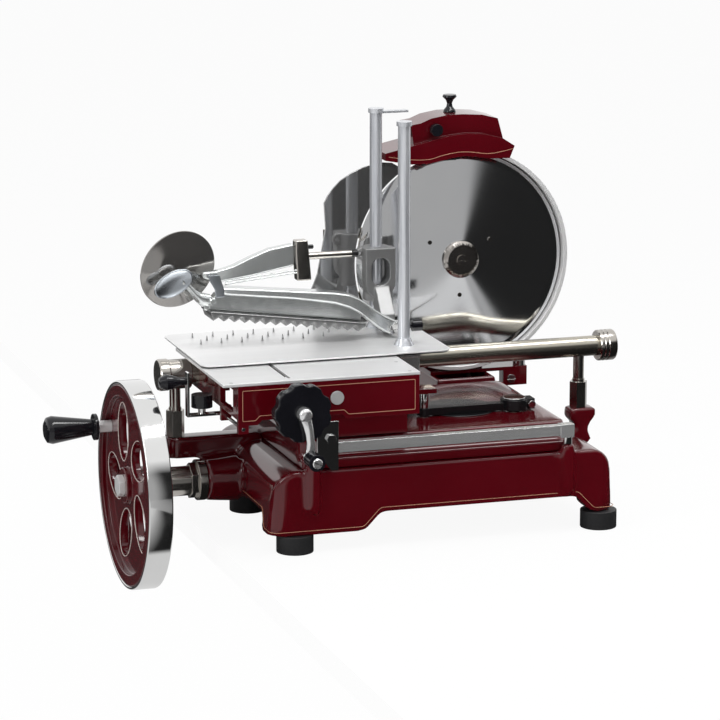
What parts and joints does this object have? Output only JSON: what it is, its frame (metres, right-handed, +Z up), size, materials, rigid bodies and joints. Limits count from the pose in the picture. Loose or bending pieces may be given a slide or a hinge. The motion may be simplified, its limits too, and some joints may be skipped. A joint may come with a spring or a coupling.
{
  "type": "hand crank meat slicer",
  "caption": "Hand crank flywheel meat slicer with round blade, sliding carriage, feed table on a screw, toothed food press on columns, gauge plate and sharpener on a cast base.",
  "frame": {"origin": "centre of the four feet on the surface that they stand on", "axes": "+X along the carriage travel away from the flywheel, +Y from the operator's side to the blade, +Z up"},
  "size_m": [0.792, 0.48, 0.6178],
  "materials": {
    "red_enamel": "glossy dark red enamel on cast iron",
    "rubber_black": "matt moulded",
    "steel_zinc": "satin",
    "chrome_bright": "polished",
    "steel_ground": "fine turned",
    "bronze_bush": "machined",
    "blade_steel": "mirror polished",
    "cast_aluminium": "satin cast",
    "table_aluminium": "polished anodised",
    "black_knob": "glossy moulded",
    "black_enamel": "satin black enamel",
    "column_steel": "polished lengthwise",
    "nickel_warm": "turned and nickelled",
    "chain_steel": "oiled",
    "stone_grey": "abrasive"
  },
  "bodies": {
    "base": {"base_casting": "red_enamel", "base_deck": "red_enamel", "underside_cover": "steel_zinc", "rubber_feet": "rubber_black", "foot_screws": "steel_zinc", "slide_bar": "steel_ground", "slide_bar_ends": "nickel_warm", "slide_bar_posts": "nickel_warm", "front_rail": "chrome_bright", "front_rail_mounts": "chrome_bright", "shaft_collar": "nickel_warm", "shaft_bushes": "bronze_bush", "blade_head": "red_enamel", "blade_bearing": "steel_ground", "guard_ring": "chrome_bright", "head_fittings": "chrome_bright", "gauge_guides": "steel_ground", "gear_cover": "black_enamel", "drive_chain": "chain_steel", "sharpener_housing": "red_enamel"},
    "flywheel": {"flywheel_casting": "red_enamel", "flywheel_band": "chrome_bright", "main_shaft": "nickel_warm", "drive_bevel": "steel_ground", "flywheel_fittings": "chrome_bright"},
    "crank_grip": {"crank_grip": "black_knob"},
    "cross_shaft": {"cross_shaft": "steel_ground"},
    "blade": {"blade": "blade_steel", "blade_cap": "chrome_bright", "blade_shaft": "steel_ground"},
    "drive_arm": {"drive_arm": "black_enamel", "drive_shaft": "steel_ground", "drive_arm_fittings": "chrome_bright"},
    "carriage": {"carriage_casting": "red_enamel", "carriage_plate": "table_aluminium", "carriage_button": "steel_ground"},
    "front_roller": {"front_roller": "black_knob"},
    "meat_table": {"meat_table": "table_aluminium", "table_pins": "steel_zinc", "column_block": "cast_aluminium", "columns": "column_steel", "column_knob": "black_knob"},
    "feed_wheel": {"feed_wheel": "black_knob", "feed_screw": "chrome_bright", "feed_crank_arm": "chrome_bright"},
    "feed_grip": {"feed_grip": "black_knob"},
    "press_carrier": {"press_carrier": "cast_aluminium", "press_pivot": "chrome_bright"},
    "press": {"press_arm": "cast_aluminium", "press_foot": "cast_aluminium", "press_links": "cast_aluminium", "press_handle": "cast_aluminium", "hand_guard": "blade_steel"},
    "release_lever": {"release_frame": "chrome_bright", "release_handle": "black_knob"},
    "lock_knob": {"lock_knob": "black_knob"},
    "gauge": {"gauge_plate": "blade_steel"},
    "sharpener": {"sharpener_knob": "black_knob", "sharpening_stones": "stone_grey"},
    "sharpener_button": {"sharpener_button": "black_knob"}
  },
  "joints": [
    {"name": "flywheel_spin", "type": "hinge", "parent": "base", "child": "flywheel", "pos_m": [-0.387, 0.045, 0.065], "axis": [1, 0, 0], "continuous": true},
    {"name": "crank_grip_spin", "type": "hinge", "parent": "flywheel", "child": "crank_grip", "pos_m": [-0.45, 0.13725, 0.12491], "axis": [1, 0, 0], "continuous": true},
    {"name": "cross_shaft_spin", "type": "hinge", "parent": "base", "child": "cross_shaft", "pos_m": [0.121, 0.12, 0.065], "axis": [0, 1, 0], "continuous": true},
    {"name": "blade_spin", "type": "hinge", "parent": "base", "child": "blade", "pos_m": [0.121, 0.2, 0.313], "axis": [0, 1, 0], "continuous": true},
    {"name": "carriage_slide", "type": "slide", "parent": "base", "child": "carriage", "axis": [1, 0, 0], "range_m": [0, 0.24]},
    {"name": "drive_arm_swing", "type": "hinge", "parent": "base", "child": "drive_arm", "pos_m": [0.121, -0.03, 0.155], "axis": [0, 0, -1], "range_deg": [0, 180]},
    {"name": "front_roller_spin", "type": "hinge", "parent": "carriage", "child": "front_roller", "pos_m": [-0.095, -0.104, 0.1613], "axis": [0, 1, 0], "continuous": true},
    {"name": "feed_wheel_spin", "type": "hinge", "parent": "carriage", "child": "feed_wheel", "pos_m": [-0.219, -0.17, 0.1995], "axis": [0, 1, 0], "range_deg": [-290, 3242]},
    {"name": "table_slide", "type": "slide", "parent": "carriage", "child": "meat_table", "axis": [0, 1, 0], "range_m": [-0.09, 0.008]},
    {"name": "feed_grip_spin", "type": "hinge", "parent": "feed_wheel", "child": "feed_grip", "pos_m": [-0.21193, -0.2, 0.14193], "axis": [0, 1, 0], "continuous": true},
    {"name": "press_slide", "type": "slide", "parent": "meat_table", "child": "press_carrier", "axis": [0, 0, 1], "range_m": [0, 0.14]},
    {"name": "press_swing", "type": "hinge", "parent": "press_carrier", "child": "press", "pos_m": [-0.017, 0.08, 0.249], "axis": [0, 1, 0], "range_deg": [0, 50]},
    {"name": "release_lever_swing", "type": "hinge", "parent": "carriage", "child": "release_lever", "pos_m": [-0.284, -0.07, 0.171], "axis": [0, -1, 0], "range_deg": [-5, 12]},
    {"name": "lock_knob_turn", "type": "hinge", "parent": "release_lever", "child": "lock_knob", "pos_m": [-0.312, -0.024, 0.185], "axis": [0, 0, 1], "range_deg": [0, 180]},
    {"name": "gauge_slide", "type": "slide", "parent": "base", "child": "gauge", "axis": [0, 1, 0], "range_m": [0, 0.004]},
    {"name": "sharpener_slide", "type": "slide", "parent": "base", "child": "sharpener", "axis": [0, 0, 1], "range_m": [0, 0.006]},
    {"name": "sharpener_button_push", "type": "slide", "parent": "base", "child": "sharpener_button", "axis": [0, 1, 0], "range_m": [0, 0.003], "stiffness_N_per_m": 400}
  ],
  "couplings": [
    {"joint": "cross_shaft_spin", "follows": "flywheel_spin", "ratio": 1},
    {"joint": "blade_spin", "follows": "flywheel_spin", "ratio": 1.5},
    {"joint": "drive_arm_swing", "follows": "carriage_slide", "rad_per_m": 13.08},
    {"joint": "front_roller_spin", "follows": "carriage_slide", "rad_per_m": 76.923},
    {"joint": "feed_wheel_spin", "follows": "table_slide", "rad_per_m": -628.32}
  ]
}
